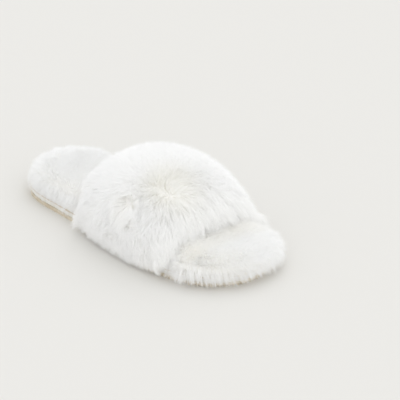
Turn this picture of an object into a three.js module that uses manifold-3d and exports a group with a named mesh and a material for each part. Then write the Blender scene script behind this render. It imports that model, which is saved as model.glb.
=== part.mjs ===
// A fluffy open-toe house slipper for the right foot, in millimetres, +Z up.
//
// The toe points along -Y, the heel along +Y, and +X is the inner, big-toe side. The sole stands on
// Z = 0, and the origin is the centre of the whole slipper's bounding box at floor level.
//
// It is built as such a slipper is sewn: the plush footbed cover, the fabric wrap round the platform
// and the two ends of the fur band meet in one perimeter seam. The wrap is then turned in under the
// foam platform, a filler sheet levels the underside, and the ridged outsole is cemented on.

import * as THREE from "three";
import { mergeVertices } from "three/addons/utils/BufferGeometryUtils.js";
import Module from "manifold-3d";

// ---- Driving dimensions ----

const SOLE_LENGTH = 252;
const HEEL_RADIUS = 36;
const GAP = 0.3; // between pieces that touch

const OUTSOLE_THICKNESS = 3;
const TREAD_DEPTH = 1.2;
const WRAP_INSET = 0.5; // the outsole's edge stands this far outside the wrap
const WRAP_THICKNESS = 1.2;
const WRAP_TURN_IN = 12; // width of the wrap's margin under the platform
const MIDSOLE_THICKNESS = 4;
const BOARD_THICKNESS = 1.2;
const FOAM_THICKNESS = 5.4;
const FOAM_CROWN = 1.6; // how much the cushion rises inside its rounded edge
const COVER_BACKING = 1.3;
const COVER_TOP = 26.5; // height of the plush surface the foot rests on
const TOE_BULGE = 8; // how far the plush puffs out past the outsole
const HEEL_BULGE = 1;
const COVER_CLEAR = 8; // distances from the band's edges where the plush starts to swell
const COVER_FREE = 22; // and where it stands free

const BAND_FRONT_Y = -72;
const BAND_REAR_Y = 28;
const BAND_PEAK_Y = -24;
const BAND_PEAK = 54; // heights of the lining's inner face over the floor
const BAND_FRONT_RISE = 35;
const BAND_REAR_RISE = 42;
const CROWN_SHIFT = 7; // the instep's ridge lies towards the inner side
const SHOULDER = 0.28; // fullness of the arch beside its crown
const LINING_THICKNESS = 1.6;
const BAND_FOAM_THICKNESS = 3;
const SEWN_FOAM_THICKNESS = 0.6; // where the foam is pinched at the perimeter seam
const SHELL_BACKING = 1.4;
const BAND_PILE = 14.5; // depth of the fur at the middle of the band

const THREAD_RADIUS = 0.35;

// ---- Sample counts ----

const RIM_STEPS = 80;
const FINE_STEPS = 720;
const BAND_ACROSS = 22;
const BAND_ALONG = 10;

// ---- Heights that follow from the thicknesses ----

const WRAP_BOTTOM = OUTSOLE_THICKNESS + GAP;
const WRAP_FLOOR = WRAP_BOTTOM + 1;
const MIDSOLE_BOTTOM = WRAP_FLOOR + GAP;
const SEAM_Z = MIDSOLE_BOTTOM + MIDSOLE_THICKNESS; // top of the wrap, where everything is sewn
const BOARD_BOTTOM = SEAM_Z + GAP;
const FOAM_BOTTOM = BOARD_BOTTOM + BOARD_THICKNESS + GAP;
const FOAM_TOP = FOAM_BOTTOM + FOAM_THICKNESS;
const BAND_FOOT_Z = SEAM_Z + GAP;
const BAND_FOOT_INSET = WRAP_INSET + WRAP_THICKNESS + 0.2; // the lining stands on the wrap's edge

// ---- The sole's outline ----

const HALF = SOLE_LENGTH / 2;
const HEEL_CENTRE_Y = HALF - HEEL_RADIUS;

// The heel is an arc; the sides and the toe run through hand-placed points, outer side first.
const SIDE_POINTS = [
  [-37, 66],
  [-39, 20],
  [-44, -28],
  [-46, -60],
  [-41.5, -90],
  [-28, -113],
  [-2, -HALF],
  [28, -120],
  [43, -100.5],
  [45, -66],
  [41, -28],
  [33.5, 20],
  [34.5, 66],
];

function heelArc() {
  const points = [];
  for (let degrees = 0; degrees <= 180; degrees += 30) {
    const a = THREE.MathUtils.degToRad(degrees);
    points.push([
      HEEL_RADIUS * Math.cos(a),
      HEEL_CENTRE_Y + HEEL_RADIUS * Math.sin(a),
    ]);
  }
  return points;
}

const OUTLINE = new THREE.CatmullRomCurve3(
  [...heelArc(), ...SIDE_POINTS].map(([x, y]) => new THREE.Vector3(x, y, 0)),
  true,
  "centripetal",
);
OUTLINE.arcLengthDivisions = FINE_STEPS;

// Evenly spaced points round the outline, counter-clockwise, each with its outward normal.
function stations(count) {
  const points = OUTLINE.getSpacedPoints(count).slice(0, count);
  return points.map((p, i) => {
    const along = points[(i + 1) % count]
      .clone()
      .sub(points[(i + count - 1) % count])
      .normalize();
    return { p, out: new THREE.Vector3(along.y, -along.x, 0) };
  });
}

const RIM = stations(RIM_STEPS);
const FINE_RIM = stations(FINE_STEPS);

// One ring round the sole. The offset outwards and the height are numbers or functions of y.
function ring(offset, z) {
  const at = (value, y) => (typeof value === "function" ? value(y) : value);
  return RIM.map(({ p, out }) =>
    p
      .clone()
      .addScaledVector(out, at(offset, p.y))
      .setZ(at(z, p.y)),
  );
}

// The outline's x at a given y, on the inner (+1) or outer (-1) side.
function soleEdge(y, side) {
  let nearest = Infinity;
  let x = 0;
  for (let i = 0; i < FINE_STEPS; i += 1) {
    const a = FINE_RIM[i].p;
    const b = FINE_RIM[(i + 1) % FINE_STEPS].p;
    const share = (y - a.y) / (b.y - a.y);
    const away = Math.abs(share - 0.5);
    if (a.x * side > 0 && away < nearest) {
      nearest = away;
      x = a.x + share * (b.x - a.x);
    }
  }
  return x;
}

// ---- Closed solids from rings and grids ----

function geometryOf(points, triangles) {
  const geometry = new THREE.BufferGeometry();
  const flat = points.flatMap((p) => [p.x, p.y, p.z]);
  geometry.setAttribute("position", new THREE.Float32BufferAttribute(flat, 3));
  geometry.setIndex(triangles);
  return geometry;
}

// Joins each ring to the next. With loop, the last one meets the first; otherwise both ends are capped.
function solidFromRings(rings, loop = false) {
  const count = rings[0].length;
  const triangles = [];
  const bands = loop ? rings.length : rings.length - 1;
  for (let r = 0; r < bands; r += 1) {
    const low = r * count;
    const high = ((r + 1) % rings.length) * count;
    for (let i = 0; i < count; i += 1) {
      const j = (i + 1) % count;
      triangles.push(low + i, low + j, high + j, low + i, high + j, high + i);
    }
  }
  if (!loop) {
    const last = (rings.length - 1) * count;
    for (const [a, b, c] of THREE.ShapeUtils.triangulateShape(rings[0], [])) {
      triangles.push(a, c, b);
    }
    for (const [a, b, c] of THREE.ShapeUtils.triangulateShape(
      rings[rings.length - 1],
      [],
    )) {
      triangles.push(last + a, last + b, last + c);
    }
  }
  return geometryOf(rings.flat(), triangles);
}

// A slab of the sole's outline, set in or out by an offset.
function slab(offset, bottom, top) {
  return solidFromRings([ring(offset, bottom), ring(offset, top)]);
}

// A thick sheet between two faces, each a function (u, v) to a point with u and v from 0 to 1.
function thickSheet(inner, outer, across, along) {
  const rings = [];
  for (let j = 0; j <= along; j += 1) {
    const section = [];
    for (let i = 0; i <= across; i += 1) {
      section.push(outer(i / across, j / along));
    }
    for (let i = across; i >= 0; i -= 1) {
      section.push(inner(i / across, j / along));
    }
    rings.push(section);
  }
  const count = rings[0].length;
  const triangles = [];
  for (let r = 0; r < along; r += 1) {
    for (let i = 0; i < count; i += 1) {
      const j = (i + 1) % count;
      const low = r * count;
      const high = low + count;
      triangles.push(low + i, low + j, high + j, low + i, high + j, high + i);
    }
  }
  // The front and rear edges: quads between the outer row and the inner row.
  const last = along * count;
  for (let i = 0; i < across; i += 1) {
    const a = i;
    const b = i + 1;
    const c = count - 2 - i;
    const d = count - 1 - i;
    triangles.push(a, c, b, a, d, c);
    triangles.push(last + a, last + b, last + c, last + a, last + c, last + d);
  }
  return geometryOf(rings.flat(), triangles);
}

// ---- The platform ----

const wasm = await Module();
wasm.setup();

function toSolid(geometry) {
  const plain = geometry.clone();
  plain.deleteAttribute("normal");
  plain.deleteAttribute("uv");
  const merged = mergeVertices(plain, 1e-4);
  return new wasm.Manifold(
    new wasm.Mesh({
      numProp: 3,
      vertProperties: merged.attributes.position.array,
      triVerts: new Uint32Array(merged.index.array),
    }),
  );
}

function toGeometry(solid) {
  const mesh = solid.getMesh();
  const geometry = new THREE.BufferGeometry();
  geometry.setAttribute(
    "position",
    new THREE.Float32BufferAttribute(mesh.vertProperties, 3),
  );
  geometry.setIndex([...mesh.triVerts]);
  return geometry;
}

const TOOTH_PITCH = 3.6;
const TOOTH_NOTCH = 1.5; // depth of each notch in the tread's edge
const TOOTHED_TO_Y = 10; // the edge is notched from the toe back to here

// The tread's outline: notched round the forefoot, plain round the waist and the heel.
function treadOutline() {
  const teeth = Math.round(OUTLINE.getLength() / TOOTH_PITCH);
  const points = [];
  stations(teeth * 4).forEach(({ p, out }, i) => {
    const toothed = p.y < TOOTHED_TO_Y;
    const notched = toothed && i % 4 >= 2;
    if (toothed || i % 8 === 0) {
      const moved = p.clone().addScaledVector(out, notched ? -TOOTH_NOTCH : 0);
      points.push(new THREE.Vector2(moved.x, moved.y));
    }
  });
  return points;
}

const GROOVE_PITCH = 10;
const GROOVE_WIDTH = 3;
const GROOVE_SWING = 2.4; // how far a groove zigzags to each side of its line
const GROOVE_STEP = 8; // half a zigzag, across the sole
const GROOVE_MARGIN = 8; // plain border between a groove's end and the edge
const TREAD_ZONES = [
  [-106, -26],
  [60, 110],
];

// One zigzag groove across the sole at y, as a closed solid that cuts the tread.
function groove(y) {
  const left = soleEdge(y, -1) + GROOVE_MARGIN;
  const right = soleEdge(y, 1) - GROOVE_MARGIN;
  const steps = Math.round((right - left) / GROOVE_STEP);
  const near = [];
  const far = [];
  for (let i = 0; i <= steps; i += 1) {
    const x = left + ((right - left) * i) / steps;
    const swing = i % 2 === 0 ? GROOVE_SWING : -GROOVE_SWING;
    near.push(new THREE.Vector2(x, y + swing - GROOVE_WIDTH / 2));
    far.unshift(new THREE.Vector2(x, y + swing + GROOVE_WIDTH / 2));
  }
  const shape = new THREE.Shape([...near, ...far]);
  const cutter = new THREE.ExtrudeGeometry(shape, {
    depth: TREAD_DEPTH + 1,
    bevelEnabled: false,
    steps: 1,
  });
  return toSolid(cutter.translate(0, 0, -1));
}

function outsole() {
  const plate = toSolid(slab(0, TREAD_DEPTH, OUTSOLE_THICKNESS));
  const tread = toSolid(
    new THREE.ExtrudeGeometry(new THREE.Shape(treadOutline()), {
      depth: TREAD_DEPTH + 0.2,
      bevelEnabled: false,
      steps: 1,
    }),
  );
  let solid = plate.add(tread);
  for (const [from, to] of TREAD_ZONES) {
    for (let y = from; y <= to; y += GROOVE_PITCH) {
      solid = solid.subtract(groove(y));
    }
  }
  return toGeometry(solid);
}

// The fabric wrap: a wall round the platform, with its margin turned in underneath.
function platformWrap() {
  const wallIn = -WRAP_INSET - WRAP_THICKNESS;
  return solidFromRings(
    [
      ring(wallIn - WRAP_TURN_IN, WRAP_BOTTOM),
      ring(-WRAP_INSET, WRAP_BOTTOM),
      ring(-WRAP_INSET, SEAM_Z),
      ring(wallIn, SEAM_Z),
      ring(wallIn, WRAP_FLOOR),
      ring(wallIn - WRAP_TURN_IN, WRAP_FLOOR),
    ],
    true,
  );
}

const PLATFORM_INSET = -WRAP_INSET - WRAP_THICKNESS - GAP;

function bottomFiller() {
  return slab(PLATFORM_INSET - WRAP_TURN_IN, WRAP_BOTTOM, WRAP_FLOOR);
}

function midsole() {
  return slab(PLATFORM_INSET, MIDSOLE_BOTTOM, SEAM_Z);
}

const COVER_INSET = PLATFORM_INSET - COVER_BACKING - GAP; // the foam's edge, inside the cover

function insoleBoard() {
  return slab(COVER_INSET, BOARD_BOTTOM, BOARD_BOTTOM + BOARD_THICKNESS);
}

function footbedFoam() {
  return solidFromRings([
    ring(COVER_INSET, FOAM_BOTTOM),
    ring(COVER_INSET, FOAM_TOP - 2.5),
    ring(COVER_INSET - 1.6, FOAM_TOP - 0.6),
    ring(COVER_INSET - 5, FOAM_TOP + FOAM_CROWN * 0.4),
    ring(COVER_INSET - 16, FOAM_TOP + FOAM_CROWN),
  ]);
}

// 1 where the band is sewn on and just past it, falling to 0 over a short way beyond.
function underBand(y) {
  const past = Math.max(BAND_FRONT_Y - y, y - BAND_REAR_Y);
  return 1 - THREE.MathUtils.smoothstep(past, COVER_CLEAR, COVER_FREE);
}

// The plush footbed cover: a hollow cap over the foam and the board, sewn down at the seam. It puffs
// out past the sole at the toe and heel, and is held in flat where the band is sewn on.
function footbedCover() {
  const blend = (free, held) => (y) =>
    THREE.MathUtils.lerp(free, held, underBand(y));
  const puff = (share, held) => (y) => {
    const bulge = y < 0 ? TOE_BULGE : HEEL_BULGE;
    return THREE.MathUtils.lerp(share * bulge, held, underBand(y));
  };
  const innerTop = FOAM_TOP + FOAM_CROWN + GAP;
  const foot = BOARD_BOTTOM;
  const side = COVER_INSET + GAP;
  const held = -BAND_FOOT_INSET - GAP;
  return solidFromRings([
    ring(side - 16, innerTop),
    ring(side - 4.6, FOAM_TOP + FOAM_CROWN * 0.4 + GAP + 0.2),
    ring(side - 1, FOAM_TOP - 0.2),
    ring(side, FOAM_TOP - 2),
    ring(side, foot),
    ring(puff(0, held), foot),
    ring(puff(0.75, held - 0.3), foot + 2.6),
    ring(puff(1, held - 1.2), foot + 6),
    ring(puff(0.95, held - 3.2), COVER_TOP - 7),
    ring(blend(-1.5, held - 7), COVER_TOP - 2.6),
    ring(blend(-7, held - 12), COVER_TOP - 0.6),
    ring(-19, COVER_TOP),
  ]);
}

// The lockstitched perimeter seam, one thread laid round just under the wrap's top edge.
function perimeterSeam() {
  const sides = 6;
  const rings = [];
  for (let i = 0; i < sides; i += 1) {
    const a = (i * 2 * Math.PI) / sides;
    rings.push(
      ring(
        -WRAP_INSET + GAP + THREAD_RADIUS * (1 + Math.sin(a)),
        SEAM_Z - 0.8 - THREAD_RADIUS * Math.cos(a),
      ),
    );
  }
  return solidFromRings(rings, true);
}

// ---- The band ----

function crownHeight(y) {
  const span = y < BAND_PEAK_Y ? BAND_FRONT_Y : BAND_REAR_Y;
  const rise = y < BAND_PEAK_Y ? BAND_FRONT_RISE : BAND_REAR_RISE;
  const share = (y - BAND_PEAK_Y) / (span - BAND_PEAK_Y);
  return BAND_PEAK - (BAND_PEAK - rise) * share * share;
}

// The lining's inner face. The angle runs from 0 at the outer side's seam over the crown to pi.
function archPoint(angle, y) {
  const outer = soleEdge(y, -1);
  const inner = soleEdge(y, 1);
  const middle = (outer + inner) / 2;
  const half = (inner - outer) / 2 - BAND_FOOT_INSET;
  const rise = crownHeight(y) - BAND_FOOT_Z;
  const up = Math.sin(angle);
  const x = -half * Math.cos(angle) * (1 + SHOULDER * up * up);
  return new THREE.Vector3(
    middle + x + CROWN_SHIFT * up * up * Math.sign(up),
    y,
    BAND_FOOT_Z + rise * up,
  );
}

// A point of the band: drop is how far its ends hang below the seam, and depth is the distance out.
function bandPoint(u, y, depth, drop = 0) {
  const extra = Math.asin(drop / (crownHeight(y) - BAND_FOOT_Z));
  const angle = -extra + u * (Math.PI + 2 * extra);
  const step = 0.01;
  const across = archPoint(angle + step, y).sub(archPoint(angle - step, y));
  const along = archPoint(angle, y + 1).sub(archPoint(angle, y - 1));
  const out = across.cross(along).normalize();
  return archPoint(angle, y).addScaledVector(out, depth);
}

function bandY(v, trim) {
  return THREE.MathUtils.lerp(BAND_FRONT_Y + trim, BAND_REAR_Y - trim, v);
}

function bandLining() {
  const face = (depth) => (u, v) => bandPoint(u, bandY(v, 0), depth);
  return thickSheet(face(0), face(LINING_THICKNESS), BAND_ACROSS, BAND_ALONG);
}

const BAND_FOAM_IN = LINING_THICKNESS + GAP;
const FOAM_TRIM = 3; // the foam stops short of the turned edges

// The outer face of the foam, thinned where its ends are pinched in the perimeter seam.
function foamFace(u) {
  const sewn = 1 - THREE.MathUtils.smoothstep(Math.min(u, 1 - u), 0, 0.16);
  return (
    BAND_FOAM_IN +
    THREE.MathUtils.lerp(BAND_FOAM_THICKNESS, SEWN_FOAM_THICKNESS, sewn)
  );
}

function bandFoam() {
  const y = (v) => bandY(v, FOAM_TRIM);
  return thickSheet(
    (u, v) => bandPoint(u, y(v), BAND_FOAM_IN),
    (u, v) => bandPoint(u, y(v), foamFace(u)),
    BAND_ACROSS,
    BAND_ALONG,
  );
}

const SHELL_DROP = 4.6; // the fur hangs this far past the seam, over the wrap

// The pile is deepest over the crown, and stands out further at the band's rear than at its front.
function pileDepth(u, v) {
  const overEdge = 0.32 + 0.68 * Math.sqrt(Math.sin(Math.PI * v));
  const low = THREE.MathUtils.lerp(0.35, 0.8, v);
  const overSide = THREE.MathUtils.lerp(low, 1, Math.sin(Math.PI * u));
  return BAND_PILE * overEdge * overSide;
}

// The faux-fur shell: the knitted backing with its pile.
function bandShell() {
  const inner = (u, v) =>
    bandPoint(u, bandY(v, 0), foamFace(u) + GAP, SHELL_DROP);
  const outer = (u, v) => {
    const depth = foamFace(u) + GAP + SHELL_BACKING + pileDepth(u, v);
    return bandPoint(u, bandY(v, 0), depth, SHELL_DROP);
  };
  return thickSheet(inner, outer, BAND_ACROSS + 2, BAND_ALONG + 2);
}

// A thread along one turned edge of the band, where the shell and the lining are sewn together.
function edgeSeam(y) {
  const points = [];
  for (let i = 0; i <= BAND_ACROSS; i += 1) {
    points.push(bandPoint(0.02 + (0.96 * i) / BAND_ACROSS, y, BAND_FOAM_IN));
  }
  const section = new THREE.Shape();
  section.absarc(0, 0, THREAD_RADIUS, 0, 2 * Math.PI);
  return new THREE.ExtrudeGeometry(section, {
    steps: BAND_ACROSS * 2,
    curveSegments: 3,
    extrudePath: new THREE.CatmullRomCurve3(points),
  });
}

const EDGE_SEAM_CLEARANCE = THREAD_RADIUS + GAP;

// ---- Materials ----

const material = (color, roughness) =>
  new THREE.MeshStandardMaterial({ color, roughness, metalness: 0 });

const FUR = material(0xf4f3f0, 0.95);
const PLUSH = material(0xf3f2ee, 0.95);
const LINING = material(0xefece5, 0.9);
const WRAP = material(0xe6e3da, 0.8);
const SOLE_RUBBER = material(0xcdbfa6, 0.7);
const EVA = material(0xe9e7e1, 0.85);
const SOFT_FOAM = material(0xe8dfc6, 0.9);
const BOARD = material(0xb79b74, 0.85);
const FELT = material(0xbdb8ae, 0.95);
const THREAD = material(0xd9d2c2, 0.7);

// ---- The slipper ----

const slipper = new THREE.Group();
slipper.name = "fluffy_house_slipper";

function add(name, geometry, finish) {
  const mesh = new THREE.Mesh(geometry, finish);
  mesh.name = name;
  slipper.add(mesh);
}

add("outsole", outsole(), SOLE_RUBBER);
add("platform_wrap", platformWrap(), WRAP);
add("bottom_filler", bottomFiller(), FELT);
add("midsole", midsole(), EVA);
add("insole_board", insoleBoard(), BOARD);
add("footbed_foam", footbedFoam(), SOFT_FOAM);
add("footbed_cover", footbedCover(), PLUSH);
add("perimeter_seam", perimeterSeam(), THREAD);
add("band_lining", bandLining(), LINING);
add("band_foam", bandFoam(), SOFT_FOAM);
add("band_shell", bandShell(), FUR);
add("band_front_seam", edgeSeam(BAND_FRONT_Y - EDGE_SEAM_CLEARANCE), THREAD);
add("band_rear_seam", edgeSeam(BAND_REAR_Y + EDGE_SEAM_CLEARANCE), THREAD);

// The origin goes to the centre of the bounding box, at floor level.
const box = new THREE.Box3().setFromObject(slipper);
const centre = box.getCenter(new THREE.Vector3());
slipper.position.set(-centre.x, -centre.y, -box.min.z);

export default slipper;
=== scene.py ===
"""A fluffy open-toe house slipper: fur band, plush footbed, wrapped platform and notched outsole.

Everything is in metres in the CAD frame: the toe points along -Y and +X is the big-toe side.
The band and the footbed are cloth-simulated padded bodies, and their pile is grown on them as
closed tapered strands, brushed and gathered into tufts.
"""

import math
from types import SimpleNamespace

import bmesh
import bpy
import numpy as np
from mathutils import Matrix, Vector, bvhtree, kdtree


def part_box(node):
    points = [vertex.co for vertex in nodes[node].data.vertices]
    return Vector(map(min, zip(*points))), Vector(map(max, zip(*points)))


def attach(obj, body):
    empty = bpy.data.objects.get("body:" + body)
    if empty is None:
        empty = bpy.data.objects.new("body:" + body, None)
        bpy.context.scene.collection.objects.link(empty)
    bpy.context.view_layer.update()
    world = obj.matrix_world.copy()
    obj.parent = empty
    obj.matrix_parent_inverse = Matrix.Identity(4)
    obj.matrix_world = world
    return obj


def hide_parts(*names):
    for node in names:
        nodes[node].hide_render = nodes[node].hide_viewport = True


MM = 0.001

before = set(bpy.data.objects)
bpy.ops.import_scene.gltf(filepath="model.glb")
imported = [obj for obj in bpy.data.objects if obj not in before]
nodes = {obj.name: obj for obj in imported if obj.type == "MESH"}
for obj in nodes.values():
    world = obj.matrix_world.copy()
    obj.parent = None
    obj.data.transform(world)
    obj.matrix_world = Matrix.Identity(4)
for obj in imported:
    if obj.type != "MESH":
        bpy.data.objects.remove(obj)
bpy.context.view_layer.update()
random = np.random.default_rng(8)

# ---- Sizes ----

BAND_PILE_STRANDS = 60_000
FOOTBED_PILE_STRANDS = 58_000
HEM_PILE_STRANDS = FOOTBED_PILE_STRANDS // 9  # the part of them that grows on the hem
STRANDS_PER_PIECE = 10_000  # keeps each piece of the pile a size that other programs open easily
UV_TILES = 32  # along each side of the pile's UV map

FOOTBED_VOXEL = 4 * MM
FOOTBED_SWELL = 2.5 * MM  # how far the cloth simulation may move a point
BAND_SWELL = 3 * MM
BAND_ACROSS = 60
BAND_ALONG = 36

BINDING_RADIUS = 1.3 * MM
BINDING_SIDES = 8
STITCHES = 180
STITCH_SIDES = 6
STITCH_PROFILE = ((-1.3, 0.15), (-0.9, 0.4), (0, 0.5), (0.9, 0.4), (1.3, 0.15))  # mm along, girth
HEM_SECTION = ((0.4, 0), (1.0, 0), (1.4, 0.8), (1.4, 2.4), (1.0, 3.2), (0.4, 3.2))  # mm out, up

CAMERA_AZIMUTH = -40.6  # degrees from the toe towards the outer side
CAMERA_ELEVATION = 25.7
CAMERA_DISTANCE = 2.5
CAMERA_LENS = 281
CAMERA_TARGET = Vector((0.0386, -0.0194, 0.0207))


# ---- Helpers ----


def unit(vectors):
    """The vectors scaled to length one."""
    size = np.linalg.norm(vectors, axis=-1, keepdims=True)
    return vectors / np.maximum(size, 1e-12)


def smoothstep(value, low, high):
    """0 below low, 1 above high, and a smooth rise between them."""
    t = np.clip((value - low) / (high - low), 0, 1)
    return t * t * (3 - 2 * t)


def falloff(points, centre, near, far):
    """1 within near of the centre, falling to 0 at far."""
    return 1 - smoothstep(np.linalg.norm(points - centre, axis=1), near, far)


def add_piece(name, mesh, material, stands_for=()):
    """A new visible piece, riding on the slipper's one body."""
    piece = bpy.data.objects.new(name, mesh)
    bpy.context.scene.collection.objects.link(piece)
    mesh.materials.clear()
    mesh.materials.append(material)
    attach(piece, "root")
    if stands_for:
        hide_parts(*stands_for)
    return piece


def mesh_from(name, vertices, faces):
    """A smooth-shaded mesh."""
    mesh = bpy.data.meshes.new(name)
    mesh.from_pydata([tuple(v) for v in vertices], [], faces)
    mesh.update()
    mesh.shade_smooth()
    return mesh


def tree_of(node):
    """A ray-casting tree of a CAD node."""
    mesh = nodes[node].data
    corners = [v.co for v in mesh.vertices]
    return bvhtree.BVHTree.FromPolygons(corners, [p.vertices for p in mesh.polygons])


def apply_modifiers(piece):
    """Bakes the piece's modifiers into its mesh."""
    graph = bpy.context.evaluated_depsgraph_get()
    mesh = bpy.data.meshes.new_from_object(piece.evaluated_get(graph))
    old = piece.data
    piece.modifiers.clear()
    piece.data = mesh
    bpy.data.meshes.remove(old)


def subdivide(piece, material):
    """One level of subdivision, smooth shading and a clean material slot."""
    smooth = piece.modifiers.new("Subdivision", "SUBSURF")
    smooth.levels = 1
    smooth.render_levels = 1
    apply_modifiers(piece)
    piece.data.materials.clear()
    piece.data.materials.append(material)
    piece.data.shade_smooth()


def wave_field(wavelength, seed, waves=10):
    """A smooth random vector field: a function from points to vectors of about unit length."""
    generator = np.random.default_rng(seed)
    direction = unit(generator.normal(size=(waves, 3)))
    numbers = direction * (2 * math.pi / wavelength) * generator.uniform(0.6, 1.4, (waves, 1))
    phases = generator.uniform(0, 2 * math.pi, (waves, 3))
    weights = generator.normal(size=(waves, 3)) * math.sqrt(2 / waves)

    def field(points):
        angles = points @ numbers.T
        return sum(
            weights[i] * np.sin(angles[:, i : i + 1] + phases[i]) for i in range(waves)
        )

    return field


# ---- Materials ----


def new_material(name, roughness, sheen=0.0):
    """A Principled material, its node tree and its shader node."""
    material = bpy.data.materials.new(name)
    material.use_nodes = True
    shader = material.node_tree.nodes["Principled BSDF"]
    shader.inputs["Roughness"].default_value = roughness
    shader.inputs["Specular IOR Level"].default_value = 0.25
    shader.inputs["Sheen Weight"].default_value = sheen
    shader.inputs["Sheen Roughness"].default_value = 0.5
    return material, material.node_tree, shader


def add_node(tree, kind, **values):
    """A new node with its inputs set by name."""
    node = tree.nodes.new(kind)
    for name, value in values.items():
        node.inputs[name.replace("_", " ")].default_value = value
    return node


def ramp(tree, source, stops):
    """A colour ramp fed by a socket; stops are (position, colour)."""
    node = tree.nodes.new("ShaderNodeValToRGB")
    while len(node.color_ramp.elements) < len(stops):
        node.color_ramp.elements.new(0.5)
    for element, (position, colour) in zip(node.color_ramp.elements, stops):
        element.position = position
        element.color = (*colour, 1)
    tree.links.new(source, node.inputs["Fac"])
    return node


def object_noise(tree, scale, detail=3.0):
    """Noise in object space, as a socket from 0 to 1."""
    place = tree.nodes.new("ShaderNodeTexCoord")
    noise = add_node(tree, "ShaderNodeTexNoise", Scale=scale, Detail=detail)
    tree.links.new(place.outputs["Object"], noise.inputs["Vector"])
    return noise.outputs["Fac"]


def bump_from(tree, shader, height, strength, distance):
    """Feeds the shader's normal from a height socket."""
    bump = add_node(tree, "ShaderNodeBump", Strength=strength, Distance=distance)
    tree.links.new(height, bump.inputs["Height"])
    tree.links.new(bump.outputs["Normal"], shader.inputs["Normal"])


def pile_material(name, root, tip, cream):
    """Pile: darker at the root, creamy in patches, its strands differing a little; painted shade in
    gaps, hollows and at the heel.
    """
    material, tree, shader = new_material(name, 0.65, sheen=0.25)
    along = attribute(tree, "along")
    length = ramp(tree, along, [(0.0, root), (0.45, tip), (1.0, tip)])
    cream_and_recess_shade = ramp(tree, attribute(tree, "cream_and_recess_shade"), [(0.0, (1, 1, 1)), (1.0, cream)])
    grey = (0.955, 0.957, 0.957)
    shades = ramp(tree, attribute(tree, "tone_and_shade"), [(0.0, (1, 1, 1)), (1.0, grey)])
    mixed = multiply(tree, length.outputs["Color"], cream_and_recess_shade.outputs["Color"])
    mixed = multiply(tree, mixed, shades.outputs["Color"])
    tree.links.new(mixed, shader.inputs["Base Color"])
    return material


def attribute(tree, name):
    """The socket that reads one of the pile's per-point numbers."""
    node = tree.nodes.new("ShaderNodeAttribute")
    node.attribute_name = name
    return node.outputs["Fac"]


def multiply(tree, first, second):
    """The product of two colour sockets."""
    node = tree.nodes.new("ShaderNodeMix")
    node.data_type = "RGBA"
    node.blend_type = "MULTIPLY"
    factor, colours, result = node.inputs[0], node.inputs[6:8], node.outputs[2]
    factor.default_value = 1
    tree.links.new(first, colours[0])
    tree.links.new(second, colours[1])
    return result


def mottled_material(name, light, dark, scale, roughness, bump, sheen=0.0):
    """A plain material with fine mottling in its colour and a matching bump."""
    material, tree, shader = new_material(name, roughness, sheen)
    noise = object_noise(tree, scale, 5.0)
    colour = ramp(tree, noise, [(0.35, dark), (0.65, light)])
    tree.links.new(colour.outputs["Color"], shader.inputs["Base Color"])
    bump_from(tree, shader, noise, 0.5, bump)
    return material


def woven_material(name, light, dark, pitch):
    """Plain-weave cloth: crossing waves along the body's axes, with a little mottling."""
    material, tree, shader = new_material(name, 0.85, sheen=0.15)
    place = tree.nodes.new("ShaderNodeTexCoord")
    heights = []
    for direction in ("X", "Y", "Z"):
        wave = add_node(tree, "ShaderNodeTexWave", Scale=0.314 / pitch, Distortion=0.6)
        wave.bands_direction = direction
        tree.links.new(place.outputs["Object"], wave.inputs["Vector"])
        heights.append(wave.outputs["Fac"])
    total = heights[0]
    for height in heights[1:]:
        node = tree.nodes.new("ShaderNodeMath")
        node.operation = "ADD"
        tree.links.new(total, node.inputs[0])
        tree.links.new(height, node.inputs[1])
        total = node.outputs["Value"]
    weave = ramp(tree, total, [(0.2, dark), (0.8, light)])
    tree.links.new(weave.outputs["Color"], shader.inputs["Base Color"])
    bump_from(tree, shader, total, 0.4, 0.1 * MM)
    return material


# ---- Outlines and profiles read from the frame ----


def outline(node, z, count):
    """Evenly spaced points round a node's silhouette at height z, counter-clockwise from +X."""
    tree = tree_of(node)
    low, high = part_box(node)
    middle = (low + high) / 2
    reach = (high - low).length
    points = []
    for i in range(1440):
        angle = 2 * math.pi * i / 1440
        direction = Vector((math.cos(angle), math.sin(angle), 0))
        start = Vector((middle.x, middle.y, z)) + direction * reach
        hit = tree.ray_cast(start, -direction, reach)[0]
        points.append(hit)
    points = np.array(points)
    steps = np.linalg.norm(np.roll(points, -1, 0) - points, axis=1)
    travelled = np.concatenate([[0], np.cumsum(steps)])
    closed = np.vstack([points, points[:1]])
    wanted = np.arange(count) * travelled[-1] / count
    return np.column_stack([np.interp(wanted, travelled, closed[:, k]) for k in range(3)])


def outward(points):
    """The horizontal outward normals of a closed counter-clockwise outline."""
    along = np.roll(points, -1, 0) - np.roll(points, 1, 0)
    return unit(np.column_stack([along[:, 1], -along[:, 0], np.zeros(len(points))]))


def tube_faces(rings, count, loop):
    """Quads that join rings of count points each; with loop, the last ring meets the first."""
    faces = []
    for r in range(rings if loop else rings - 1):
        low = r * count
        high = (r + 1) % rings * count
        for i in range(count):
            j = (i + 1) % count
            faces.append((low + i, low + j, high + j, high + i))
    return faces


def capped_tube_faces(rings, count):
    """The faces of a tube of rings, closed at both ends."""
    last = (rings - 1) * count
    start = tuple(reversed(range(count)))
    end = tuple(last + i for i in range(count))
    return [*tube_faces(rings, count, False), start, end]


def turns(count):
    """Angles spaced evenly round a circle."""
    return np.linspace(0, 2 * math.pi, count, endpoint=False)


# ---- Padded bodies ----


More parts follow.
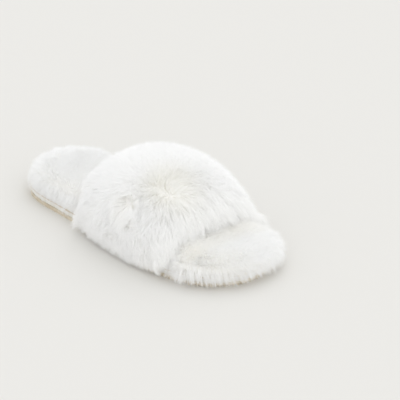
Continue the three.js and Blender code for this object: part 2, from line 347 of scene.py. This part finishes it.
def puff(piece, pressure, most, frames=20, pinned=None):
    """Swells the piece as air-filled cloth, moving no point more than most, and applies it."""
    before = np.array([v.co for v in piece.data.vertices])
    cloth = piece.modifiers.new("Cloth", "CLOTH")
    cloth.settings.use_pressure = True
    cloth.settings.uniform_pressure_force = pressure
    cloth.settings.tension_stiffness = 12
    cloth.settings.bending_stiffness = 0.8
    cloth.settings.effector_weights.gravity = 0
    cloth.collision_settings.use_collision = False
    if pinned is not None:
        group = piece.vertex_groups.new(name="sewn")
        group.add([int(i) for i in pinned], 1.0, "ADD")
        cloth.settings.vertex_group_mass = "sewn"
    cloth.point_cache.frame_start = 1
    cloth.point_cache.frame_end = frames
    for number in range(1, frames + 1):
        bpy.context.scene.frame_set(number)
    apply_modifiers(piece)
    bpy.context.scene.frame_set(1)
    after = np.array([v.co for v in piece.data.vertices])
    moved = after - before
    size = np.linalg.norm(moved, axis=1, keepdims=True)
    capped = before + moved * np.minimum(1, most / np.maximum(size, 1e-9))
    piece.data.vertices.foreach_set("co", capped.ravel())
    piece.data.update()


# ---- Strands ----


def scatter(mesh, count, density):
    """Random points on a mesh with their normals; density weighs face centres and normals."""
    mesh.calc_loop_triangles()
    triangles = np.zeros(len(mesh.loop_triangles) * 3, np.int32)
    mesh.loop_triangles.foreach_get("vertices", triangles)
    triangles = triangles.reshape(-1, 3)
    places = np.zeros(len(mesh.vertices) * 3)
    mesh.vertices.foreach_get("co", places)
    places = places.reshape(-1, 3)
    normals = np.zeros(len(mesh.vertices) * 3)
    mesh.vertices.foreach_get("normal", normals)
    normals = normals.reshape(-1, 3)
    corners = places[triangles]
    across = np.cross(corners[:, 1] - corners[:, 0], corners[:, 2] - corners[:, 0])
    area = np.linalg.norm(across, axis=1)
    weight = area * density(corners.mean(1), unit(across))
    chosen = random.choice(len(triangles), count, p=weight / weight.sum())
    share = random.dirichlet((1, 1, 1), count)[:, :, None]
    points = (corners[chosen] * share).sum(1)
    facing = unit((normals[triangles[chosen]] * share).sum(1))
    return points, facing


def depth_under(node, points, normals):
    """How far each point lies under a node's outer face, along the point's normal."""
    tree = tree_of(node)
    hits = [tree.ray_cast(Vector(p), Vector(n))[3] for p, n in zip(points, normals)]
    return np.array([hit or 0 for hit in hits])


def gather(lines, spacing, pull, power):
    """Draws the strands' tips towards the nearest of some guide strands, spacing apart."""
    roots = lines[:, 0]
    guides = []
    cells = {}
    for index in random.permutation(len(roots)):
        cell = tuple(np.floor(roots[index] / spacing).astype(int))
        if cell not in cells:
            cells[cell] = index
            guides.append(index)
    tree = kdtree.KDTree(len(guides))
    for index in guides:
        tree.insert(roots[index], index)
    tree.balance()
    nearest = np.array([tree.find(root)[1] for root in roots])
    share = np.linspace(0, 1, lines.shape[1])[None, :, None] ** power
    strength = np.asarray(pull).reshape(-1, 1, 1) if np.ndim(pull) else pull
    return lines + (lines[nearest] - lines) * share * strength


def grow(roots, normals, flow, length, lift, bend, droop, steps):
    """Centre lines (strand, step, xyz): each leaves at angle lift and bends over along the flow."""
    count = len(roots)
    flat = unit(flow - normals * (flow * normals).sum(1, keepdims=True))
    lines = np.zeros((count, steps + 1, 3))
    place = roots.copy()
    lines[:, 0] = place
    for k in range(steps):
        share = (k + 0.5) / steps
        angle = (lift * (1 - bend * share))[:, None]
        way = flat * np.cos(angle) + normals * np.sin(angle)
        way[:, 2] -= droop * share
        place = place + unit(way) * (length / steps)[:, None]
        lines[:, k + 1] = place
    return lines


def strand_mesh(name, lines, radius, cream_and_recess_shade, tone_and_shade, cells):
    """One mesh of closed three-sided tapered strands along the centre lines."""
    count, points = lines.shape[:2]
    rings = points - 2
    along = unit(np.gradient(lines, axis=1))
    reference = unit(random.normal(size=(count, 1, 3)))
    side = unit(np.cross(along, np.broadcast_to(reference, along.shape)))
    other = np.cross(along, side)
    share = np.linspace(0, 1, points)[1:-1]
    taper = (0.55 + 0.45 * np.sin(math.pi * np.minimum(share * 1.6, 1))) * (1 - 0.72 * share**2)
    girth = radius[:, None] * taper[None, :]
    per = rings * 3 + 2
    vertices = np.zeros((count, per, 3))
    vertices[:, 0] = lines[:, 0]
    vertices[:, -1] = lines[:, -1]
    for corner in range(3):
        turn = 2 * math.pi * corner / 3
        push = side[:, 1:-1] * math.cos(turn) + other[:, 1:-1] * math.sin(turn)
        vertices[:, 1 + corner : -1 : 3] = lines[:, 1:-1] + push * girth[:, :, None]
    triangles = strand_triangles(rings)
    faces = (np.arange(count)[:, None, None] * per + triangles[None]).reshape(-1)
    mesh = bpy.data.meshes.new(name)
    mesh.vertices.add(count * per)
    mesh.vertices.foreach_set("co", vertices.ravel())
    mesh.loops.add(len(faces))
    mesh.loops.foreach_set("vertex_index", faces)
    mesh.polygons.add(len(faces) // 3)
    mesh.polygons.foreach_set("loop_start", np.arange(0, len(faces), 3))
    mesh.update(calc_edges=True)
    mesh.shade_flat()
    step = np.concatenate([[0], np.repeat(share, 3), [1]])
    put_attribute(mesh, "along", np.tile(step, count))
    put_attribute(mesh, "cream_and_recess_shade", np.repeat(cream_and_recess_shade, per))
    put_attribute(mesh, "tone_and_shade", np.repeat(tone_and_shade, per))
    put_uvs(mesh, cells, step, per, faces)
    return mesh


def strand_triangles(rings):
    """The triangles of one strand: its root point, its rings and its tip point."""
    triangles = []
    for i in range(3):
        j = (i + 1) % 3
        triangles.append((0, 1 + j, 1 + i))
        for r in range(rings - 1):
            low = 1 + 3 * r
            high = low + 3
            triangles.append((low + i, low + j, high + j))
            triangles.append((low + i, high + j, high + i))
        last = 1 + 3 * (rings - 1)
        triangles.append((last + i, last + j, 3 * rings + 1))
    return np.array(triangles)


def put_attribute(mesh, name, values):
    """Stores one number per vertex, which the pile's material reads."""
    attribute = mesh.attributes.new(name, "FLOAT", "POINT")
    attribute.data.foreach_set("value", values.astype(np.float32))


def put_uvs(mesh, cells, step, per, faces):
    """Strands rooted in the same cell of a square grid share one small tile of the UV map."""
    count = len(cells)
    tile = np.floor(cells * UV_TILES)
    across = np.tile(np.array([0.5, *([0.1, 0.5, 0.9] * ((per - 2) // 3)), 0.5]), count)
    u = (np.repeat(tile[:, 0], per) + 0.1 + 0.8 * across) / UV_TILES
    v = (np.repeat(tile[:, 1], per) + 0.1 + 0.8 * np.tile(step, count)) / UV_TILES
    layer = mesh.uv_layers.new(name="OFBake")
    layer.data.foreach_set("uv", np.column_stack([u, v])[faces].ravel())


def pile_pieces(name, lines, radius, cream_and_recess_shade, tone_and_shade, material):
    """Splits the strands along the slipper into pieces of a handy size, and makes each one."""
    order = np.argsort(lines[:, 0, 1])
    number = math.ceil(len(lines) / STRANDS_PER_PIECE)
    for index, chosen in enumerate(np.array_split(order, number), start=1):
        part = lines[chosen]
        low = part[:, 0].min(0)
        size = np.ptp(part[:, 0], axis=0)
        cells = np.clip((part[:, 0, :2] - low[:2]) / size[:2], 0, 0.999)
        numbers = (radius[chosen], cream_and_recess_shade[chosen], tone_and_shade[chosen])
        mesh = strand_mesh(f"{name}_{index:02d}", part, *numbers, cells)
        add_piece(mesh.name, mesh, material)


# ---- The footbed ----


def footbed_body(material):
    """The padded body under the plush, a pile's depth inside the cover's outer face."""
    whole = bmesh.new()
    whole.from_mesh(nodes["footbed_cover"].data)
    whole.from_mesh(nodes["footbed_foam"].data)
    mesh = bpy.data.meshes.new("footbed_plush_body")
    whole.to_mesh(mesh)
    whole.free()
    covered = ("footbed_cover", "footbed_foam")
    body = add_piece("footbed_plush_body", mesh, material, covered)
    remesh = body.modifiers.new("Remesh", "REMESH")
    remesh.mode = "VOXEL"
    remesh.voxel_size = FOOTBED_VOXEL
    apply_modifiers(body)
    sink(body.data)
    puff(body, 3.0, FOOTBED_SWELL)
    subdivide(body, material)
    rest_on(body.data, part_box("insole_board")[1].z + 0.2 * MM)
    return body


def sink(mesh):
    """Moves the top and the sides inwards by the depth of the pile that will stand on them."""
    band_low, band_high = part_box("band_lining")
    way = [band_low.y - 30 * MM, band_low.y - 8 * MM, band_low.y + 20 * MM, band_high.y + 30 * MM]
    pile = [8 * MM, 4 * MM, 6 * MM, 5 * MM]
    places = np.array([v.co for v in mesh.vertices])
    normals = np.array([v.normal for v in mesh.vertices])
    depth = np.interp(places[:, 1], way, pile) * smoothstep(normals[:, 2], -0.8, -0.3)
    places -= normals * depth[:, None]
    mesh.vertices.foreach_set("co", places.ravel())
    mesh.update()


def footbed_hem(material):
    """The cover's hem, which comes down round the insole board to the seam."""
    edge = outline("insole_board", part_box("insole_board")[1].z - 0.5 * MM, 240)
    out = outward(edge)
    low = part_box("footbed_cover")[0].z
    rings = []
    for offset, rise in HEM_SECTION:
        ring = edge + out * offset * MM
        ring[:, 2] = low + rise * MM
        rings.append(ring)
    faces = tube_faces(len(rings), len(edge), True)
    mesh = mesh_from("footbed_hem", np.vstack(rings), faces)
    return add_piece("footbed_hem", mesh, material)


def rest_on(mesh, z):
    """Flattens what hangs below z."""
    places = np.array([v.co for v in mesh.vertices])
    places[:, 2] = np.maximum(places[:, 2], z)
    mesh.vertices.foreach_set("co", places.ravel())
    mesh.update()


def heel_share(points):
    """0 beside the band, rising to 1 at the free heel."""
    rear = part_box("band_lining")[1].y
    return smoothstep(points[:, 1], rear + 28 * MM, rear + 60 * MM)


def outline_way(points):
    """The horizontal direction from the footbed's long axis to each point."""
    return unit(from_axis(points))


def edge_share(points):
    """0 along the footbed's long axis, rising to 1 near its edge."""
    low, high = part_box("insole_board")
    reach = (high.x - low.x) / 2
    out = np.linalg.norm(from_axis(points), axis=1)
    return smoothstep(out / reach, 0.35, 0.95)


def from_axis(points):
    """The horizontal vector to each point from the nearest one on the footbed's long axis."""
    low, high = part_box("insole_board")
    reach = (high.x - low.x) / 2
    y = np.clip(points[:, 1], low.y + reach, high.y - reach)
    return np.column_stack([points[:, 0], points[:, 1] - y])


def footbed_density(centres, normals):
    """Thin where the band hides the plush, and nearly bare underneath."""
    low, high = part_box("band_lining")
    hidden = (centres[:, 1] > low.y + 14 * MM) & (centres[:, 1] < high.y - 14 * MM)
    return np.where(normals[:, 2] > -0.5, np.where(hidden, 0.3, 1.0), 0.02)


def hem_density(centres, normals):
    """Only the hem's outer side, and thinner at the heel."""
    outer = (normals[:, :2] * outline_way(centres)).sum(1) > 0.3
    return (outer & (normals[:, 2] < 0.6)) * (1 - 0.5 * heel_share(centres))


def footbed_zones(roots, normals):
    """How far each root of the plush belongs to each zone, from 0 to 1."""
    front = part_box("band_lining")[0].y
    zone = SimpleNamespace()
    zone.rim = 1 - smoothstep(normals[:, 2], 0.35, 0.9)
    zone.toe = 1 - smoothstep(roots[:, 1], front - 25 * MM, front + 5 * MM)
    zone.heel = heel_share(roots)
    zone.mouth = 1 - smoothstep(np.abs(roots[:, 1] - front + 12 * MM), 6 * MM, 20 * MM)
    zone.spill = zone.rim * (1 - zone.heel)
    zone.side = np.maximum(zone.rim, 0.8 * edge_share(roots))
    return zone


def footbed_flow(roots, zone):
    """Brushed towards the toe on top, and outwards and down at the sides."""
    spread = outline_way(roots) * (0.1 + 0.9 * zone.side)[:, None]
    flow = np.column_stack([spread, -1.0 * zone.spill - 0.6 * zone.rim * zone.heel])
    flow = flow + np.array((0.3, -0.9, 0)) * (1 - 0.7 * zone.side)[:, None]
    flow[:, 1] += 0.5 * zone.mouth * zone.rim
    return flow + wave_field(24 * MM, 3)(roots) * 0.15 + wave_field(8 * MM, 4)(roots) * 0.1


def footbed_lines(roots, normals, zone):
    """The plush's centre lines, which end near the cover's outer face."""
    count = len(roots)
    flow = footbed_flow(roots, zone)
    lift = np.radians(74 - 22 * zone.spill - 8 * zone.rim) + random.normal(0, 0.12, count)
    droop = 0.1 + 0.8 * zone.spill + 0.3 * zone.rim * zone.heel
    reach = depth_under("footbed_cover", roots, normals)
    length = np.clip(reach / np.sin(lift * 0.75), 6 * MM, 10 * MM)
    extra = 1.0 * zone.toe + 3.0 * zone.spill + 1.5 * zone.mouth * (1 + zone.rim) + 2.2 * zone.heel
    length = (length + extra * MM) * random.uniform(0.8, 1.1, count)
    lines = grow(roots, normals, flow, length, lift, 0.5, droop, 3)
    lines = gather(lines, 7 * MM, 0.06 + 0.1 * zone.rim, 1.5)
    lines = gather(lines, 2.4 * MM, 0.26 + 0.06 * zone.rim, 1.3)
    lines = fray(lines, 0.6 * MM)
    keep_above(lines, 1.0 * MM)
    return lines


def footbed_pile(body, hem, material):
    """Short plush, upright on top, and spilling out and down over the edge at the toe."""
    on_body = FOOTBED_PILE_STRANDS - HEM_PILE_STRANDS
    roots, normals = scatter(body.data, on_body, footbed_density)
    hem_roots, hem_normals = scatter(hem.data, HEM_PILE_STRANDS, hem_density)
    roots = np.vstack([roots, hem_roots])
    normals = np.vstack([normals, hem_normals])
    count = len(roots)
    zone = footbed_zones(roots, normals)
    lines = footbed_lines(roots, normals, zone)
    radius = random.uniform(0.14, 0.22, count) * MM
    patches = np.clip(0.35 + 0.5 * wave_field(45 * MM, 5)(roots)[:, 0], 0, 1)
    # Random cream patches, with painted warm shade added at the mouth under the band's front edge.
    cream_and_recess_shade = np.clip(0.5 * patches + 0.7 * zone.mouth, 0, 1) * (1 - zone.rim) * (1 - zone.heel)
    # Random grey from strand to strand, a slight greying of all the plush, and painted shade that
    # darkens it towards the heel.
    tone_and_shade = random.uniform(0, 0.3, count) + 0.2 + 0.15 * zone.heel
    pile_pieces("footbed_pile", lines, radius, cream_and_recess_shade, tone_and_shade, material)


def fray(lines, amount):
    """Small random bends that grow towards the tips."""
    share = np.linspace(0, 1, lines.shape[1])[None, :, None] ** 1.5
    bend = random.normal(0, amount, (len(lines), 1, 3))
    wiggle = random.normal(0, amount * 0.35, lines.shape)
    return lines + (bend + wiggle) * share


def keep_above(lines, z):
    """No strand dips below height z."""
    lines[:, :, 2] = np.maximum(lines[:, :, 2], z)


# ---- The band ----


def band_sections(across, along):
    """Points on the shell's inner and outer faces, as two arrays (along, across, xyz).

    Each column is a plane through the slipper's long axis, turned from the outer side over the
    crown to the inner side, and runs from the lining's front edge to its rear edge.
    """
    tree = tree_of("band_shell")
    low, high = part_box("band_lining")
    seam = low.z
    inner = np.zeros((along, across, 3))
    outer = np.zeros((along, across, 3))
    for i in range(across):
        angle = math.radians(-3.5 + 187 * i / (across - 1))
        way = Vector((-math.cos(angle), 0, math.sin(angle)))

        def crossed(y):
            axis = Vector((0, y, seam))
            return tree.ray_cast(axis, way)[0], tree.ray_cast(axis + way * 0.2, -way)[0]

        held = [y for y in np.arange(low.y, high.y, 0.5 * MM) if crossed(y)[0]]
        for j, y in enumerate(np.linspace(held[0], held[-1], along)):
            inner[j, i], outer[j, i] = crossed(y)
    return inner, outer


def band_body(inner, outer, material):
    """The padded body of the band: the foam and knitted backing that the fur grows from."""
    along, across = inner.shape[:2]
    share = np.sin(math.pi * np.linspace(0, 1, along))[:, None, None] ** 0.4
    face = inner + (outer - inner) * (0.08 + 0.22 * share)
    vertices = np.vstack([face.reshape(-1, 3), inner.reshape(-1, 3)])
    faces = slab_faces(across, along)
    mesh = mesh_from("band_fur_body", vertices, faces)
    bm = bmesh.new()
    bm.from_mesh(mesh)
    bmesh.ops.recalc_face_normals(bm, faces=bm.faces)
    bm.to_mesh(mesh)
    bm.free()
    body = add_piece("band_fur_body", mesh, material, ("band_shell",))
    pinned = np.arange(across * along, 2 * across * along)
    puff(body, 4.0, BAND_SWELL, pinned=pinned)
    subdivide(body, material)
    return body


def slab_faces(across, along):
    """Faces of a closed slab: an outer grid, an inner grid after it, and the four edges."""
    total = across * along

    def at(j, i, layer=0):
        return layer * total + j * across + i

    faces = []
    for j in range(along - 1):
        for i in range(across - 1):
            faces.append((at(j, i), at(j, i + 1), at(j + 1, i + 1), at(j + 1, i)))
            faces.append((at(j, i, 1), at(j + 1, i, 1), at(j + 1, i + 1, 1), at(j, i + 1, 1)))
    for i in range(across - 1):
        faces.append((at(0, i), at(0, i, 1), at(0, i + 1, 1), at(0, i + 1)))
        last = along - 1
        faces.append((at(last, i), at(last, i + 1), at(last, i + 1, 1), at(last, i, 1)))
    for j in range(along - 1):
        faces.append((at(j, 0), at(j + 1, 0), at(j + 1, 0, 1), at(j, 0, 1)))
        last = across - 1
        faces.append((at(j, last), at(j, last, 1), at(j + 1, last, 1), at(j + 1, last)))
    return faces


def front_share(points, length):
    """1 at the band's front edge, falling to 0 a length behind it."""
    return 1 - smoothstep(points[:, 1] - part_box("band_lining")[0].y, 0, length)


def band_density(centres, normals):
    """Only the outer side, and denser at the front edge."""
    axis = np.array((0.0, 0.0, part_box("band_lining")[0].z))
    away = centres - axis
    away[:, 1] = 0
    outside = (unit(away) * normals).sum(1)
    return np.where(outside > -0.2, 1 + 1.5 * front_share(centres, 10 * MM), 0.0)


def band_zones(roots):
    """The fur's special places, and how far each root belongs to each zone, from 0 to 1."""
    low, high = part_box("band_lining")
    zone = SimpleNamespace()
    zone.whorl = np.array((4 * MM, low.y + 52 * MM, high.z))
    zone.hollow = np.array((low.x + 4 * MM, low.y + 43 * MM, high.z - 11 * MM))
    zone.cream = np.array((-13 * MM, low.y + 25 * MM, high.z + 1 * MM))
    zone.crown = falloff(roots, zone.whorl, 12 * MM, 52 * MM)
    zone.parting = falloff(roots, zone.hollow, 3 * MM, 15 * MM)
    zone.low_down = 1 - smoothstep(roots[:, 2], low.z, low.z + 22 * MM)
    zone.front = front_share(roots, 20 * MM)
    zone.lip = front_share(roots, 10 * MM) * (1 - 0.8 * zone.low_down)
    zone.rear = 1 - smoothstep(high.y - roots[:, 1], 0, 16 * MM)
    return zone


def band_flow(roots, zone):
    """Brushed away from the whorl and the hollow, and out over the band's edges."""
    away = roots - zone.whorl
    flow = unit(away * np.array((1.0, 1.25, 1.0))) * (1 - 0.5 * zone.crown)[:, None]
    flow = flow + wave_field(30 * MM, 11)(roots) * (0.35 - 0.25 * zone.crown)[:, None]
    flow = flow + wave_field(12 * MM, 12)(roots) * 0.15
    flow[:, 1] -= zone.front * (1 + 1.2 * zone.low_down)
    flow[:, 2] -= 0.8 * zone.front * (1 - zone.low_down)
    flow = flow + zone.rear[:, None] * np.array((0, 0.2, -0.9))
    return flow + zone.parting[:, None] * unit(roots - zone.hollow) * 1.8


def band_lines(roots, normals, zone):
    """The fur's centre lines, which end near the shell's outer face, gathered into tufts."""
    flow = band_flow(roots, zone)
    lift = 57 + 30 * zone.crown - 30 * zone.front - 26 * zone.rear - 18 * zone.parting
    lift = np.radians(lift) + random.normal(0, 0.13, len(roots))
    bend = 0.5 * (1 - 0.85 * zone.crown)
    low_down, lip = zone.low_down, zone.lip
    droop = 0.22 + 0.3 * low_down + 0.25 * zone.front * (1 - low_down) + 0.45 * lip
    reach = depth_under("band_shell", roots, normals)
    longest = (18 - 4 * low_down - 6 * low_down * zone.front) * MM
    length = np.clip(reach / np.sin(lift * (1 - bend / 2)), 8 * MM, longest)
    length = (length + 9.5 * MM * lip) * random.uniform(0.78 + 0.14 * lip, 1.1 - 0.04 * lip)
    lines = grow(roots, normals, flow, length, lift, bend, droop, 4)
    lines = gather(lines, 9 * MM, 0.15 * (1 - zone.crown) * (1 - lip), 1.6)
    lines = gather(lines, 3.0 * MM, 0.38 - 0.25 * zone.crown - 0.15 * lip, 1.4)
    lines = fray(lines, 0.8 * MM)
    keep_above(lines, 1.2 * MM)
    return lines


def band_pile(body, material):
    """Long silky fur: upright round a whorl on the crown, and brushed away from it elsewhere."""
    roots, normals = scatter(body.data, BAND_PILE_STRANDS, band_density)
    count = len(roots)
    zone = band_zones(roots)
    lines = band_lines(roots, normals, zone)
    radius = random.uniform(0.15, 0.25, count) * MM
    # A cream patch on the crown, with painted warm shade added along the front edge over the gap and
    # in the hollow's parting.
    cream_and_recess_shade = falloff(roots, zone.cream, 4 * MM, 30 * MM)
    cream_and_recess_shade = np.clip(cream_and_recess_shade + 0.4 * zone.front + 0.6 * zone.parting, 0, 1)
    tone_and_shade = random.uniform(0, 0.2, count)
    pile_pieces("band_pile", lines, radius, cream_and_recess_shade, tone_and_shade, material)


def band_inner_lining(material):
    """The lining, smoothed from the CAD sheet, whose triangles are first joined at their corners."""
    mesh = bpy.data.meshes.new("band_lining_cloth")
    sheet = bmesh.new()
    sheet.from_mesh(nodes["band_lining"].data)
    bmesh.ops.remove_doubles(sheet, verts=sheet.verts, dist=0.01 * MM)
    sheet.to_mesh(mesh)
    sheet.free()
    stands_for = ("band_lining",)
    lining = add_piece("band_lining_cloth", mesh, material, stands_for)
    subdivide(lining, material)


def band_binding(name, edge, material, seam):
    """A rolled cloth binding round one opening of the band, along the edge's arch."""
    middle = np.array((0.0, edge[:, 1].mean(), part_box("band_lining")[0].z))
    out = edge - middle
    out[:, 1] = 0
    out = unit(out)
    vertices = []
    for point, way in zip(edge, out):
        for turn in turns(BINDING_SIDES):
            round_way = way * math.cos(turn) - (0, math.sin(turn), 0)
            vertices.append(point + BINDING_RADIUS * round_way)
    faces = capped_tube_faces(len(edge), BINDING_SIDES)
    add_piece(name, mesh_from(name, vertices, faces), material, (seam,))


def perimeter_stitches(material):
    """The row of stitches that holds the cover to the wrap, each a short thread over the seam."""
    low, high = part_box("perimeter_seam")
    path = outline("perimeter_seam", (low.z + high.z) / 2, STITCHES)
    along = unit(np.roll(path, -1, 0) - np.roll(path, 1, 0))
    stitch = capped_tube_faces(len(STITCH_PROFILE), STITCH_SIDES)
    vertices = []
    faces = []
    for centre, way, side in zip(path, along, outward(path)):
        first = len(vertices)
        faces += [tuple(first + i for i in face) for face in stitch]
        for place, girth in STITCH_PROFILE:
            for turn in turns(STITCH_SIDES):
                round_way = side * math.cos(turn) - (0, 0, math.sin(turn))
                vertices.append(centre + (way * place + round_way * girth) * MM)
    mesh = mesh_from("perimeter_stitches", vertices, faces)
    add_piece("perimeter_stitches", mesh, material)


# ---- The stage ----


def studio():
    """A plain pale floor, an even sky and two very soft suns."""
    corners = [(-6, -6, 0), (6, -6, 0), (6, 6, 0), (-6, 6, 0)]
    floor_mesh = mesh_from("floor", corners, [(0, 1, 2, 3)])
    floor = bpy.data.objects.new("floor", floor_mesh)
    bpy.context.scene.collection.objects.link(floor)
    material, _, shader = new_material("floor", 0.9)
    shader.inputs["Base Color"].default_value = (0.765, 0.754, 0.724, 1)
    floor_mesh.materials.append(material)

    world = bpy.data.worlds.new("studio")
    world.use_nodes = True
    bpy.context.scene.world = world
    background = world.node_tree.nodes["Background"]
    background.inputs["Color"].default_value = (0.97, 0.975, 0.98, 1)
    background.inputs["Strength"].default_value = 0.93

    add_sun("key", 0.4, 50, 52, 38)
    add_sun("fill", 0.4, 90, 48, -115)


def add_sun(name, energy, spread, elevation, azimuth):
    """A wide sun; azimuth is the side it shines from, turned from +X towards +Y (degrees)."""
    light = bpy.data.lights.new(name, "SUN")
    light.energy = energy
    light.angle = math.radians(spread)
    sun = bpy.data.objects.new(name, light)
    sun.rotation_euler = (math.radians(90 - elevation), 0, math.radians(azimuth + 90))
    bpy.context.scene.collection.objects.link(sun)


def camera():
    """A long lens that looks down at the slipper from its outer front side."""
    azimuth = math.radians(CAMERA_AZIMUTH)
    elevation = math.radians(CAMERA_ELEVATION)
    back = Vector((
        math.sin(azimuth) * math.cos(elevation),
        -math.cos(azimuth) * math.cos(elevation),
        math.sin(elevation),
    ))
    data = bpy.data.cameras.new("camera")
    data.lens = CAMERA_LENS
    data.sensor_width = 36
    data.clip_end = 20
    view = bpy.data.objects.new("camera", data)
    view.location = CAMERA_TARGET + back * CAMERA_DISTANCE
    view.rotation_euler = back.to_track_quat("Z", "Y").to_euler()
    bpy.context.scene.collection.objects.link(view)
    bpy.context.scene.camera = view


def render_look():
    """Plain colours, and enough bounces for light to pass through white fur."""
    scene = bpy.context.scene
    scene.view_settings.view_transform = "Standard"
    scene.cycles.max_bounces = 32
    scene.cycles.diffuse_bounces = 32


# ---- The slipper ----

FUR = pile_material(
    "band_fur", root=(0.988, 0.987, 0.982), tip=(0.995, 0.995, 0.994), cream=(1.0, 0.998, 0.988)
)
PLUSH = pile_material(
    "footbed_plush", root=(0.982, 0.981, 0.975), tip=(0.992, 0.992, 0.991), cream=(1.0, 0.996, 0.984)
)
FUR_BASE = mottled_material(
    "fur_backing", (0.975, 0.97, 0.96), (0.945, 0.935, 0.91), 600, 0.9, 0.4 * MM, sheen=0.2
)
LINING = woven_material("lining_cloth", (0.90, 0.885, 0.85), (0.80, 0.78, 0.73), 0.9 * MM)
WRAP = woven_material("wrap_cloth", (0.86, 0.84, 0.78), (0.76, 0.73, 0.66), 0.7 * MM)
RUBBER = mottled_material("sole_rubber", (0.74, 0.67, 0.54), (0.64, 0.56, 0.43), 260, 0.65, 0.15 * MM)
BINDING = woven_material("binding_tape", (0.93, 0.91, 0.87), (0.82, 0.79, 0.73), 0.6 * MM)
THREAD = mottled_material("thread", (0.66, 0.56, 0.42), (0.54, 0.44, 0.31), 900, 0.7, 0.1 * MM)
FOAM = mottled_material("foam", (0.90, 0.86, 0.74), (0.84, 0.79, 0.66), 900, 0.9, 0.2 * MM)
EVA = mottled_material("midsole_foam", (0.90, 0.89, 0.86), (0.85, 0.84, 0.80), 1200, 0.8, 0.1 * MM)
BOARD = mottled_material("fibre_board", (0.62, 0.50, 0.35), (0.52, 0.41, 0.27), 700, 0.85, 0.1 * MM)
FELT = mottled_material("felt", (0.66, 0.64, 0.60), (0.55, 0.53, 0.49), 800, 0.95, 0.3 * MM)

CARRIED_OVER = {
    "outsole": RUBBER,
    "platform_wrap": WRAP,
    "bottom_filler": FELT,
    "midsole": EVA,
    "insole_board": BOARD,
    "perimeter_seam": THREAD,
    "band_foam": FOAM,
    "band_front_seam": THREAD,
    "band_rear_seam": THREAD,
}

for node, finish in CARRIED_OVER.items():
    nodes[node].data.materials.clear()
    nodes[node].data.materials.append(finish)

camera()
studio()
render_look()

plush_body = footbed_body(FUR_BASE)
plush_hem = footbed_hem(FUR_BASE)
footbed_pile(plush_body, plush_hem, PLUSH)
inner_face, outer_face = band_sections(BAND_ACROSS, BAND_ALONG)
fur_body = band_body(inner_face, outer_face, FUR_BASE)
band_pile(fur_body, FUR)
band_inner_lining(LINING)
band_binding("band_front_binding", inner_face[0], BINDING, "band_front_seam")
band_binding("band_rear_binding", inner_face[-1], BINDING, "band_rear_seam")
perimeter_stitches(THREAD)
